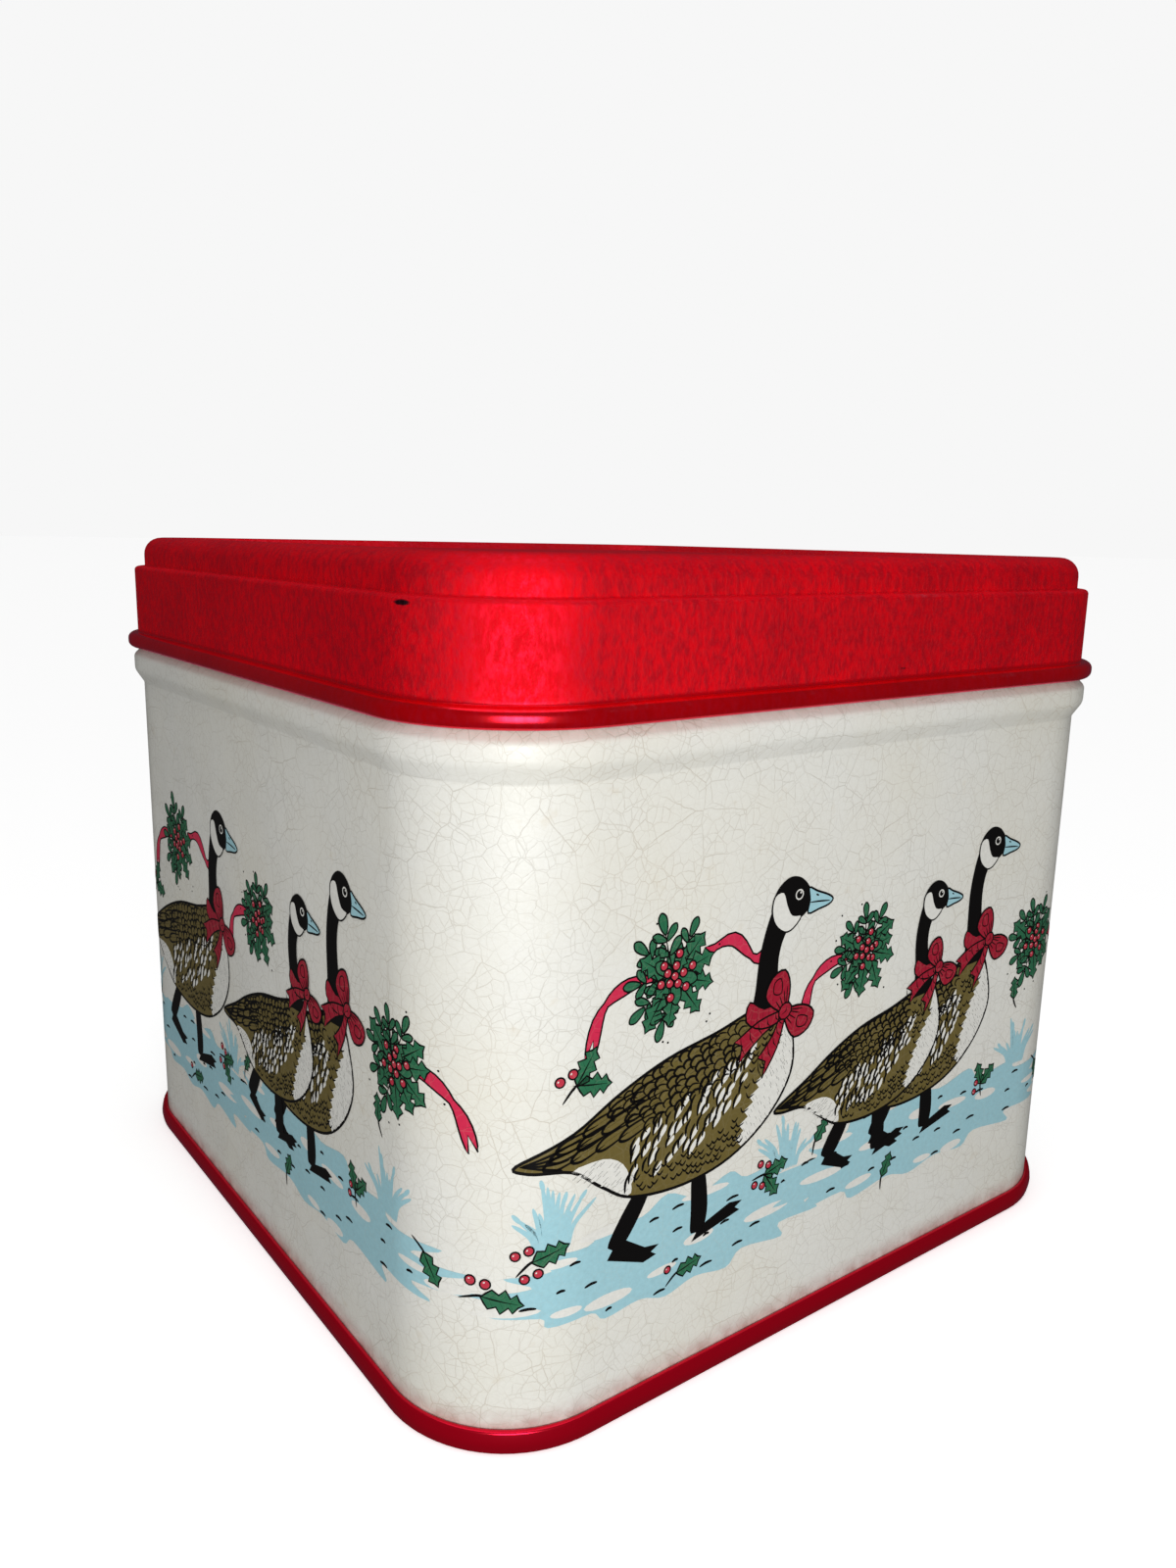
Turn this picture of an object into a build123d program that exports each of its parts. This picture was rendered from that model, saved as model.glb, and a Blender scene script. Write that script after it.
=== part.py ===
"""A square tinplate cookie tin with upright rounded corners and a slip-on lid.

It is three pieces of sheet, as it comes apart on a bench:

  body_wall  one sheet bent round into a square tube and closed by a lapped side seam. It has a swaged
             shoulder bead near the top, a neck that goes up inside the lid, a safe curled edge at the
             mouth and a hook at the foot, which the base is folded round.
  base_pan   the pressed base, countersunk, with its edge folded round the wall's hook as a double seam.
             The seam is the narrow bead that the tin stands on.
  lid        the pressed lid: a sunk top panel, a rounded top edge, a stepped skirt and a hem that is flared
             out and curled back in, so that the printed face of the sheet shows all the way round it.

Millimetres. +Z is up, and the origin is the centre of the footprint, on the surface that the tin stands on.

Every piece has the same plan, a square with rounded corners, so each one is a section of bent sheet that is
carried round that plan. A section's points are (offset, height): offset is measured outwards from the flat
outer face of the wall, and is negative towards the inside, and both are to the middle of the sheet.
"""

import os

from build123d import *

# ---- Driving dimensions
SIDE = 152.4  # across the wall's outer faces, 6 inches
CORNER_R = 21.5  # outer radius of the wall's upright corners
HEIGHT = 133.8  # to the top of the lid
SHEET = 0.3  # tinplate thickness
FOLD_GAP = 0.05  # between the folded layers of the base seam

HEM_FOOT = 110.8  # lowest edge of the lid
HEM_HEIGHT = 3.1
HEM_WIDTH = 2.05  # how far the curled hem stands out, sheet middle to sheet middle
HEM_TUCK = 1.2  # height of the sheet's edge, tucked up inside the hem
STEP_HEIGHT = 127.8  # top of the lid's skirt, where the lid steps in
SKIRT_FACE = 0.7  # offset of the skirt's outer face
CROWN_FACE = -1.4  # offset of the lid's outer face above the step
CROWN_EDGE_R = 3.6  # radius of the lid's rounded top edge
PANEL_SINK = 1.5  # how far the lid's top panel is below its edge
PANEL_EDGE = -9.5  # offset where the sunk panel starts

BEAD_FOOT = 103.2  # where the wall starts to swell into the shoulder bead
BEAD_LOW, BEAD_HIGH = 106.0, 109.0  # the bead's widest stretch
BEAD_OUT = 1.75  # how far the bead stands out from the wall
NECK_FOOT = 111.0
NECK_IN = 0.35  # how far the neck's outer face is inside the wall's
MOUTH_HEIGHT = 127.2  # top of the wall's curled edge
CURL = 2.2  # size of that curl, sheet middle to sheet middle

SEAM_HEIGHT = 3.9  # height of the base seam
SEAM_BULGE = 0.4  # how far the seam's outer face swells at mid height
HOOK_TOP = 3.2  # end of the wall's hook, inside the seam
COVER_HOOK_FOOT = 1.05  # end of the base's hook, inside the wall's
SINK = 3.8  # height of the base panel's edge above the ground
BASE_STEP = 0.8  # how far the middle of the base is set down from its edge
BASE_STEP_EDGE = -7.5  # offset where it is set down

LAP_WIDTH = 6.0  # overlap of the sheet's two ends at the side seam
LAP_FOOT, LAP_TOP = 5.0, 102.0
LAP_Y = -48.0  # where the seam is on the wall at -X
GROOVE_WIDTH, GROOVE_DEPTH = 0.25, 0.12  # the line where the outer end of the sheet stops

PANEL_RING = 13.0  # how far in the sections reach before flat panel takes over

# ---- Worked out from those
HALF = SIDE / 2
RUN = HALF - CORNER_R  # half of each wall's flat stretch
LAYER = SHEET + FOLD_GAP  # from one folded layer's middle to the next
WALL = -SHEET / 2  # offset of the wall's middle
COVER_HOOK = WALL + LAYER
HOOK = COVER_HOOK + LAYER
SEAM = HOOK + LAYER
CHUCK = WALL - LAYER
NECK = WALL - NECK_IN
SKIRT = SKIRT_FACE - SHEET / 2
CROWN = CROWN_FACE - SHEET / 2


def bent_sheet(points, radii):
    """The section of one sheet bent along (offset, height) points, standing in the plane y = 0 at the +X wall."""
    path = FilletPolyline(*[(HALF + offset, height) for offset, height in points], radius=radii)
    return Plane.XZ * trace(path, SHEET)


def carried_round(section):
    """The solid that a section makes when it is carried round the rounded square."""
    flat = extrude(Pos(0, -RUN, 0) * section, amount=2 * RUN, dir=(0, 1, 0))
    corner = revolve(Pos(0, RUN, 0) * section, Axis((RUN, RUN, 0), (0, 0, 1)), 90)
    quarter = flat + corner
    return Part() + [Rot(0, 0, turn) * quarter for turn in (0, 90, 180, 270)]


def flat_panel(middle_height):
    """The flat sheet inside a ring of section that reaches in to PANEL_RING."""
    outline = RectangleRounded(SIDE - 2 * PANEL_RING, SIDE - 2 * PANEL_RING, CORNER_R - PANEL_RING)
    return extrude(Pos(0, 0, middle_height - SHEET / 2) * outline, amount=SHEET)


def body_wall():
    """The wall: hook at the foot, flat face, shoulder bead, neck and curled mouth, with its lapped side seam."""
    hook_floor = SHEET / 2 + LAYER
    bead = BEAD_OUT - SHEET / 2
    mouth = MOUTH_HEIGHT - SHEET / 2
    points = [
        (HOOK, HOOK_TOP),
        (HOOK, hook_floor),
        (WALL, hook_floor),
        (WALL, BEAD_FOOT),
        (bead, BEAD_LOW),
        (bead, BEAD_HIGH),
        (NECK, NECK_FOOT),
        (NECK, mouth),
        (NECK - CURL, mouth),
        (NECK - CURL, mouth - CURL),
        (NECK - CURL / 2, mouth - CURL),
    ]
    curl_r = 0.45 * CURL
    radii = [0.3, 0.3, 0.9, 2.4, 1.2, 1.2, curl_r, curl_r, curl_r]
    wall = carried_round(bent_sheet(points, radii))
    lap_height = LAP_TOP - LAP_FOOT
    lap = Box(SHEET, LAP_WIDTH, lap_height, align=(Align.MIN, Align.MIN, Align.MIN))
    groove = Box(GROOVE_DEPTH, GROOVE_WIDTH, BEAD_FOOT - SEAM_HEIGHT, align=(Align.MIN, Align.MAX, Align.MIN))
    wall += Pos(-HALF + SHEET, LAP_Y, LAP_FOOT) * lap
    return wall - Pos(-HALF, LAP_Y, SEAM_HEIGHT) * groove


def base_pan():
    """The base: its panel, the chuck wall inside the tin's wall, and the seam folded round the wall's hook."""
    floor = SHEET / 2
    top = SEAM_HEIGHT - SHEET / 2
    points = [
        (-PANEL_RING, SINK - BASE_STEP - SHEET / 2),
        (BASE_STEP_EDGE, SINK - BASE_STEP - SHEET / 2),
        (BASE_STEP_EDGE + BASE_STEP, SINK - SHEET / 2),
        (CHUCK, SINK - SHEET / 2),
        (CHUCK, floor),
        (SEAM, floor),
        (SEAM + SEAM_BULGE, SEAM_HEIGHT / 2),
        (SEAM, top),
        (COVER_HOOK, top),
        (COVER_HOOK, COVER_HOOK_FOOT),
    ]
    radii = [0.6, 0.6, 0.6, 0.5, 0.5, 2.5, 0.32, 0.32]
    return carried_round(bent_sheet(points, radii)) + flat_panel(SINK - BASE_STEP - SHEET / 2)


def lid():
    """The lid: sunk panel, rounded edge, the step down to the skirt, and the curled hem at its foot."""
    top = HEIGHT - SHEET / 2
    foot = HEM_FOOT + SHEET / 2
    hem_top = HEM_FOOT + HEM_HEIGHT - SHEET / 2
    points = [
        (-PANEL_RING, top - PANEL_SINK),
        (PANEL_EDGE, top - PANEL_SINK),
        (PANEL_EDGE + PANEL_SINK, top),
        (CROWN, top),
        (CROWN, STEP_HEIGHT - SHEET / 2),
        (SKIRT, STEP_HEIGHT - SHEET / 2),
        (SKIRT, hem_top),
        (SKIRT + HEM_WIDTH, hem_top),
        (SKIRT + HEM_WIDTH, foot),
        (SKIRT, foot),
        (SKIRT, foot + HEM_TUCK),
    ]
    radii = [1.2, 1.2, CROWN_EDGE_R - SHEET / 2, 0.5, 0.7, 0.5, 1.2, 1.1, 0.7]
    return carried_round(bent_sheet(points, radii)) + flat_panel(top - PANEL_SINK)


os.makedirs("parts", exist_ok=True)
for build in (body_wall, base_pan, lid):
    piece = build()
    export_step(piece, f"parts/{build.__name__}.step")
    print(build.__name__, "solids", len(piece.solids()), "volume", round(piece.volume, 1))
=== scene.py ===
"""The looks of a square cookie tin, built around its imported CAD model.

The tin's three CAD pieces give way here to finer sheet-metal meshes of the same shape: the body's tinplate,
its four enamelled faces and the picture printed on them, the base and the lid. Lengths are in millimetres
until a mesh is made. A place on a wall is (run, height): run is the distance round the tin along the flat
walls' outer face, and it starts at the middle of the wall at +X and goes towards +Y.
"""

import bisect
import random
from math import ceil, copysign, cos, dist, floor, pi, radians, sin, tan

import bpy
import bmesh
from mathutils import Matrix, Vector
from mathutils.geometry import tessellate_polygon


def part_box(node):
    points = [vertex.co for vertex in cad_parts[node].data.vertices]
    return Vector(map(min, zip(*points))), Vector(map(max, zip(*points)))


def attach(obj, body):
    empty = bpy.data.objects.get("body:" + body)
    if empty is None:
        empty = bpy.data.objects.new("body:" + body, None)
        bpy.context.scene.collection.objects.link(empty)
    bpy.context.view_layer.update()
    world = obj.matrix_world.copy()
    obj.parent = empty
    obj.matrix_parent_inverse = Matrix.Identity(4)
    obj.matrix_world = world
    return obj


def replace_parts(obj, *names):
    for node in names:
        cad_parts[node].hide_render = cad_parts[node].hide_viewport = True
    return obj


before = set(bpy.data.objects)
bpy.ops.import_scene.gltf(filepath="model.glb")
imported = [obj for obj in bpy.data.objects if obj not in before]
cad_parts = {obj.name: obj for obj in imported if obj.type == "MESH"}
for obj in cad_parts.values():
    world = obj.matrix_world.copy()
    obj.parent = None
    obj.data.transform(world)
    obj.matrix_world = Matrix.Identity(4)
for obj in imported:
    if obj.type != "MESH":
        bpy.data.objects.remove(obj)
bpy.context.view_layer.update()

MM = 0.001


def cad_height(node, end):
    """The lowest (0) or highest (1) point of a CAD node, in millimetres."""
    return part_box(node)[end].z / MM


# ---- Driving dimensions, as the CAD model has them
SHEET = 0.3  # tinplate thickness
SIDE = 152.4
CORNER_R = 21.5
HEIGHT = cad_height("lid", 1)
HEM_FOOT = cad_height("lid", 0)
MOUTH = cad_height("body_wall", 1)
SEAM_HEIGHT = cad_height("base_pan", 1)
BEAD_FOOT, BEAD_LOW, BEAD_HIGH, NECK_FOOT = 103.2, 106, 109, 111  # heights round the shoulder bead
CURL = 2.2  # size of the mouth's curled edge
HOOK_DROP = 0.7  # from the seam's top down to the end of the wall's hook
STEP_HEIGHT = 127.8  # where the lid steps in
CROWN_EDGE_R = 3.6  # radius of the lid's rounded top edge
HEM_HEIGHT, HEM_WIDTH, HEM_TUCK = 3.1, 2.05, 1.2
PANEL_EDGE, PANEL_SINK = -9.5, 1.5  # where the lid's sunk panel starts, and how far it is sunk
BASE_EDGE, BASE_STEP = -7.5, 0.8  # where the base is set down, and how far
SINK = 3.8  # height of the base panel's edge
SEAM_BULGE = 0.4
COVER_HOOK_FOOT = 1.05  # end of the base's sheet, inside the seam

# ---- Offsets of the sheet's middle from the wall's outer face
FOLD = SHEET + 0.05  # from one folded layer's middle to the next in the base seam
WALL = -SHEET / 2
NECK = WALL - 0.35
SKIRT = 0.7 - SHEET / 2
CROWN = -1.4 - SHEET / 2
BEAD = 1.75 - SHEET / 2

# ---- The enamel, and the sheet's grid of vertices
ENAMEL = 0.1  # thickness that the enamelled faces take of the wall's sheet
BARE_SHEET = (SHEET - ENAMEL, ENAMEL / 2)  # thickness, and how far in the middle is from the whole sheet's
ENAMEL_SHEET = (ENAMEL, (ENAMEL - SHEET) / 2)
ENAMEL_FOOT = SEAM_HEIGHT - 1.3  # just inside the base seam
NECK_LINE = 111.6  # the enamel stops here, just inside the lid
RIPPLE, RIPPLE_FADE = 0.11, 18  # size of the walls' soft waves, and how far from the beads they start

HALF = SIDE / 2
FLAT = HALF - CORNER_R  # half of each wall's flat stretch
ARC = CORNER_R * pi / 2
PITCH = 2 * FLAT + ARC  # from the middle of one wall to the middle of the next, along the surface
AROUND = 4 * PITCH

SIDE_SEAM = 2 * PITCH + 48.0  # the run where the sheet's two ends meet, on the wall at -X
SEAM_GAP = 0.25  # width of the groove between them
SHEET_MAP = "sheet"  # the meshes' map of (run, height)
FLAT_STEPS = 24
ARC_STEPS = 20
SIDE_STEPS = FLAT_STEPS + ARC_STEPS
ROW_STEP = 4.5  # longest stretch of a section between two rows of vertices
BEND_STEP = radians(14)  # greatest turn between two rows round a bend
SHARP = radians(35)  # bends sharper than this aren't smoothed over


# ---- Places on the tin
def ripple(run, height):
    """How far the thin sheet stands off its ideal flat: a few long soft waves, none at the stiff corners."""
    along = (run + PITCH / 2) % PITCH - PITCH / 2
    stiff = max(0.0, 1 - (abs(along) / FLAT) ** 4)
    at_foot = min(1.0, max(0.0, (height - SEAM_HEIGHT) / RIPPLE_FADE))
    at_bead = min(1.0, max(0.0, (BEAD_FOOT - height) / RIPPLE_FADE))
    stiff *= at_foot * at_bead
    turn = 2 * pi * run / AROUND
    waves = (
        sin(5 * turn + height / 31 + 0.7)
        + 0.7 * sin(11 * turn - height / 23 + 2.1)
        + 0.4 * sin(17 * turn + height / 14)
    )
    return RIPPLE * stiff * waves


def wall_point(run, offset, height):
    """The point at (run, height), offset outwards from the wall's ideal outer face."""
    side = floor(run / PITCH + 0.5)
    along = run - side * PITCH
    past = abs(along) - FLAT
    if past <= 0:
        x, y = HALF + offset, along
    else:
        angle = past / CORNER_R
        x = FLAT + (CORNER_R + offset) * cos(angle)
        y = copysign(FLAT + (CORNER_R + offset) * sin(angle), along)
    for _ in range(side % 4):
        x, y = -y, x
    return Vector((x, y, height))


def body_point(run, offset, height):
    """The same on the body's real sheet, with its ripple."""
    return wall_point(run, offset + ripple(run, height), height)


def stations(first, last):
    """The runs of the columns of vertices, counted from the left end of the wall at +X."""
    runs = []
    for column in range(first, last + 1):
        side, step = divmod(column, SIDE_STEPS)
        if step <= FLAT_STEPS:
            along = -FLAT + 2 * FLAT * step / FLAT_STEPS
        else:
            along = FLAT + ARC * (step - FLAT_STEPS) / ARC_STEPS
        runs.append(side * PITCH + along)
    return runs


# ---- Sections of bent sheet
def rounded(points, radii):
    """An (offset, height) path with an arc at each inner point."""
    path = [Vector(points[0])]
    for before, at, after, radius in zip(points, points[1:], points[2:], radii):
        at = Vector(at)
        towards = (at - Vector(before)).normalized()
        away = (Vector(after) - at).normalized()
        turn = towards.angle_signed(away)
        cut = radius * tan(abs(turn) / 2)
        start = at - towards * cut
        side = Vector((-towards.y, towards.x)) * -copysign(1, turn)
        centre = start + side * radius
        count = max(2, ceil(abs(turn) / BEND_STEP))
        for i in range(count + 1):
            spoke = -side * radius
            spoke.rotate(Matrix.Rotation(-turn * i / count, 2))
            path.append(centre + spoke)
    path.append(Vector(points[-1]))
    return path


def divided(path):
    """The path with points added on its long straight runs."""
    fine = [path[0]]
    for start, end in zip(path, path[1:]):
        count = max(1, ceil((end - start).length / ROW_STEP))
        fine += [start.lerp(end, i / count) for i in range(1, count + 1)]
    return fine


def shifted(path, distance):
    """The path moved sideways, to its left where distance is positive."""
    moved = []
    for i, at in enumerate(path):
        before, after = path[max(i - 1, 0)], path[min(i + 1, len(path) - 1)]
        inward, outward = (at - before).normalized(), (after - at).normalized()
        along = (inward + outward).normalized()
        lean = max(0.6, along.dot(inward if i else outward))
        moved.append(at + Vector((-along.y, along.x)) * distance / lean)
    return moved


# ---- Meshes
def in_scene(name, data):
    """A new object in the scene."""
    made = bpy.data.objects.new(name, data)
    bpy.context.scene.collection.objects.link(made)
    return made


def placed(mesh, materials, body):
    """A mesh as a piece that rides on a body, with its materials."""
    for finish in materials:
        mesh.materials.append(finish)
    piece = in_scene(mesh.name, mesh)
    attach(piece, body)
    return piece


def sheet_map(bm):
    """A bmesh's map of (run, height)."""
    return bm.loops.layers.uv.get(SHEET_MAP) or bm.loops.layers.uv.new(SHEET_MAP)


def carry_round(bm, path, thickness, runs, closed, place=wall_point, plate=False):
    """Carries a sheet of a thickness along its middle path round the tin, through columns at runs.

    Where the columns go all the way round, closed joins the last to the first, and elsewhere the cut ends are
    filled. With plate, the path starts at the corners' centres, a flat panel fills the middle, and faces on
    the path's right get the second material. The map's run starts afresh at the side seam.
    """
    print_map = sheet_map(bm)
    past_seam = AROUND if runs[0] > SIDE_SEAM else 0
    left = shifted(path, thickness / 2)
    right = shifted(path, -thickness / 2)
    loop = left + right[::-1]
    rows = len(loop)
    grid = [[bm.verts.new(place(run, at.x, at.y)) for at in loop] for run in runs]
    for here in range(len(runs) if closed else len(runs) - 1):
        there = (here + 1) % len(runs)
        far_run = runs[there] if there else AROUND + runs[0]
        for row in range(rows - 1 if plate else rows):
            above = (row + 1) % rows
            face = bm.faces.new((grid[here][row], grid[there][row], grid[there][above], grid[here][above]))
            face.material_index = 1 if plate and row >= len(left) - 1 else 0
            places = ((runs[here], row), (far_run, row), (far_run, above), (runs[here], above))
            for corner, (run, at) in zip(face.loops, places):
                corner[print_map].uv = (run - past_seam, loop[at].y)
    if not closed:
        for column in (grid[0], grid[-1]):
            for row in range(len(left) - 1):
                bm.faces.new((column[row], column[row + 1], column[rows - 2 - row], column[rows - 1 - row]))
    if plate:
        fill_middle(bm, left[0].y, 0)
        fill_middle(bm, right[0].y, 1)
        bmesh.ops.remove_doubles(bm, verts=bm.verts, dist=0.001)


def fill_middle(bm, height, finish):
    """A grid over the square between the corners' centres, on the same columns as the walls."""
    ticks = [FLAT * (2 * i / FLAT_STEPS - 1) for i in range(FLAT_STEPS + 1)]
    grid = [[bm.verts.new((x, y, height)) for y in ticks] for x in ticks]
    for i in range(FLAT_STEPS):
        for j in range(FLAT_STEPS):
            face = bm.faces.new((grid[i][j], grid[i + 1][j], grid[i + 1][j + 1], grid[i][j + 1]))
            face.material_index = finish


ALL_ROUND = stations(0, 4 * SIDE_STEPS - 1)


def sheet_piece(name, points, radii, materials, body, slot, sheet=(SHEET, 0.0), spans=None, **how):
    """A piece of sheet bent along (offset, height) points, all round the tin or through spans of columns."""
    thickness, shift = sheet
    path = shifted(divided(rounded(points, radii)), shift)
    bm = bmesh.new()
    for runs in spans or [ALL_ROUND]:
        carry_round(bm, path, thickness, runs, closed=not spans, **how)
    bmesh.ops.recalc_face_normals(bm, faces=bm.faces)
    for face in bm.faces:
        face.smooth = True
    for edge in bm.edges:
        if len(edge.link_faces) == 2 and edge.calc_face_angle() > SHARP:
            edge.smooth = False
    bmesh.ops.scale(bm, vec=(MM, MM, MM), verts=bm.verts)
    mesh = bpy.data.meshes.new(name)
    bm.to_mesh(mesh)
    bm.free()
    return placed(mesh, materials, body)


# ---- The tin's sheets, each as a section of (offset, height) points
SHOULDER = [(WALL, BEAD_FOOT), (BEAD, BEAD_LOW), (BEAD, BEAD_HIGH), (NECK, NECK_FOOT)]
SHOULDER_RADII = [0.9, 2.4, 1.2, 1.2]


def tinplate(bare):
    """The wall's own sheet, bare behind its enamel: foot hook, face, shoulder bead, neck and curled mouth."""
    hook_floor = SHEET / 2 + FOLD
    mouth = MOUTH - SHEET / 2
    points = [
        (WALL + 2 * FOLD, SEAM_HEIGHT - HOOK_DROP),
        (WALL + 2 * FOLD, hook_floor),
        (WALL, hook_floor),
        *SHOULDER,
        (NECK, mouth),
        (NECK - CURL, mouth),
        (NECK - CURL, mouth - CURL),
        (NECK - CURL / 2, mouth - CURL),
    ]
    radii = [0.3, 0.3, *SHOULDER_RADII, 1.0, 1.0, 1.0]
    name = "tinplate_wall"
    return sheet_piece(name, points, radii, [bare], "tin", "bare_tin", BARE_SHEET, place=body_point)


def enamel_face(side, cream):
    """One wall's enamelled face, and the corner at its right-hand end."""
    points = [(WALL, ENAMEL_FOOT), *SHOULDER, (NECK, NECK_LINE)]
    first = side * SIDE_STEPS + 2
    runs = stations(first, first + SIDE_STEPS)
    spans = [runs]
    if runs[0] < SIDE_SEAM < runs[-1]:
        before = [run for run in runs if run < SIDE_SEAM - 1] + [SIDE_SEAM]
        after = [SIDE_SEAM + SEAM_GAP] + [run for run in runs if run > SIDE_SEAM + 1]
        spans = [before, after]
    name = f"enamel_face_{side + 1}"
    return sheet_piece(
        name, points, SHOULDER_RADII, [cream], "tin", "cream_enamel", ENAMEL_SHEET, spans, place=body_point
    )


def base(red, bare):
    """The pressed base, with its edge folded round the wall's foot as the bead that the tin stands on."""
    foot = SHEET / 2
    edge = SINK - SHEET / 2
    top = SEAM_HEIGHT - SHEET / 2
    seam = WALL + 3 * FOLD
    points = [
        (-CORNER_R, edge - BASE_STEP),
        (BASE_EDGE, edge - BASE_STEP),
        (BASE_EDGE + BASE_STEP, edge),
        (WALL - FOLD, edge),
        (WALL - FOLD, foot),
        (seam, foot),
        (seam + SEAM_BULGE, SEAM_HEIGHT / 2),
        (seam, top),
        (WALL + FOLD, top),
        (WALL + FOLD, COVER_HOOK_FOOT),
    ]
    radii = [0.6, 0.6, 0.6, 0.5, 0.5, 2.5, 0.32, 0.32]
    return sheet_piece("base_pressing", points, radii, [bare, red], "tin", "red_enamel", plate=True)


def lid(red, bare):
    """The pressed lid: sunk panel, rounded edge, the step down to the skirt, and the curled hem."""
    top = HEIGHT - SHEET / 2
    foot = HEM_FOOT + SHEET / 2
    hem_top = HEM_FOOT + HEM_HEIGHT - SHEET / 2
    points = [
        (-CORNER_R, top - PANEL_SINK),
        (PANEL_EDGE, top - PANEL_SINK),
        (PANEL_EDGE + PANEL_SINK, top),
        (CROWN, top),
        (CROWN, STEP_HEIGHT - SHEET / 2),
        (SKIRT, STEP_HEIGHT - SHEET / 2),
        (SKIRT, hem_top),
        (SKIRT + HEM_WIDTH, hem_top),
        (SKIRT + HEM_WIDTH, foot),
        (SKIRT, foot),
        (SKIRT, foot + HEM_TUCK),
    ]
    radii = [1.2, 1.2, CROWN_EDGE_R - SHEET / 2, 0.5, 0.7, 0.5, 1.2, 1.1, 0.7]
    return sheet_piece("lid_pressing", points, radii, [red, bare], "lid", "red_enamel", plate=True)


# ---- The printed picture: a drawing kit
LINE = 0.28  # usual width of the ink line
INK_WEIGHT = 1.5  # how much heavier every line is drawn than its stated width
LAYER = 0.005  # from one layer of ink to the next
PRINT_OFFSET = 0.02  # of the first layer from the enamel


def smooth(points, closed=False, steps=5):
    """A smooth curve through points."""
    count = len(points)
    curve = []
    for i in range(count if closed else count - 1):
        near = [(i + k) % count if closed else min(max(i + k, 0), count - 1) for k in (-1, 0, 1, 2)]
        for step in range(steps):
            t = step / steps
            weights = (
                -0.5 * t**3 + t * t - 0.5 * t,
                1.5 * t**3 - 2.5 * t * t + 1,
                -1.5 * t**3 + 2 * t * t + 0.5 * t,
                0.5 * t**3 - 0.5 * t * t,
            )
            curve.append(tuple(sum(w * points[n][axis] for w, n in zip(weights, near)) for axis in (0, 1)))
    if not closed:
        curve.append(tuple(points[-1]))
    return curve


def turned(point, turn, centre):
    """A point of a frame that is turned about its centre, by an angle in degrees, anticlockwise."""
    (x, y), angle = point, radians(turn)
    across = centre[0] + x * cos(angle) - y * sin(angle)
    return across, centre[1] + x * sin(angle) + y * cos(angle)


def oval(x, y, width, height, turn=0.0, steps=14):
    """The outline of an ellipse, turned by an angle in degrees."""
    around = [2 * pi * i / steps for i in range(steps)]
    return [turned((width / 2 * cos(a), height / 2 * sin(a)), turn, (x, y)) for a in around]


class Pen:
    """Draws shapes and lines of ink in a frame of its own: moved, turned and scaled on the wall."""

    def __init__(self, shapes, x=0.0, y=0.0, scale=1.0, turn=0.0, layer=0):
        self.shapes, self.centre, self.scale, self.turn, self.layer = shapes, (x, y), scale, turn, layer

    def moved(self, x, y, scale=1.0, turn=0.0, layer=0):
        """A pen in a frame inside this one. turn is in degrees, anticlockwise."""
        at = self.spot((x, y))
        return Pen(self.shapes, *at, self.scale * scale, self.turn + turn, self.layer + layer)

    def spot(self, point):
        """A point of the pen's frame as (run, height)."""
        return turned((point[0] * self.scale, point[1] * self.scale), self.turn, self.centre)

    def fill(self, outline, ink, layer=0):
        """A filled shape."""
        flat = [self.spot(point) for point in outline]
        faces = tessellate_polygon([[Vector((*point, 0)) for point in flat]])
        self.shapes.append((ink, self.layer + layer, flat, [tuple(face) for face in faces]))

    def line(self, points, width=LINE, layer=0, ink="ink", ends=0.15, closed=False):
        """A line through points. ends is its width at its two ends, as a share of its width in the middle."""
        path = [Vector(self.spot(point)) for point in points]
        count = len(path)
        corners = []
        for i, at in enumerate(path):
            before = path[i - 1] if closed or i else at
            after = path[(i + 1) % count] if closed or i < count - 1 else at
            along = (after - before).normalized()
            t = i / max(count - 1, 1)
            swell = 1.0 if closed else ends + (1 - ends) * sin(pi * t) ** 0.6
            side = Vector((-along.y, along.x)) * width * INK_WEIGHT * swell / 2
            corners += [tuple(at + side), tuple(at - side)]
        spans = [(i, (i + 1) % count) for i in range(count if closed else count - 1)]
        faces = [(2 * a, 2 * a + 1, 2 * b + 1, 2 * b) for a, b in spans]
        self.shapes.append((ink, self.layer + layer, corners, faces))

    def outlined(self, outline, ink, layer=0, width=LINE):
        """A filled shape with a line round it, one layer above."""
        self.fill(outline, ink, layer)
        self.line(outline, width, layer + 1, closed=True)


# ---- The printed picture: its motifs. Leaves and bows are drawn about 1 long, by a pen that scales them.
def inside(point, outline):
    """True where a point lies within an outline."""
    x, y = point
    within = False
    for (ax, ay), (bx, by) in zip(outline, outline[1:] + outline[:1]):
        if (ay > y) != (by > y) and x < ax + (bx - ax) * (y - ay) / (by - ay):
            within = not within
    return within


def scattered(draw, outline, count, clear):
    """Up to count random points within an outline, at least clear apart."""
    xs, ys = zip(*outline)
    spots = []
    for _ in range(count * 6):
        at = (draw.uniform(min(xs), max(xs)), draw.uniform(min(ys), max(ys)))
        if inside(at, outline) and all(dist(at, other) >= clear for other in spots):
            spots.append(at)
        if len(spots) == count:
            break
    return spots


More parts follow.
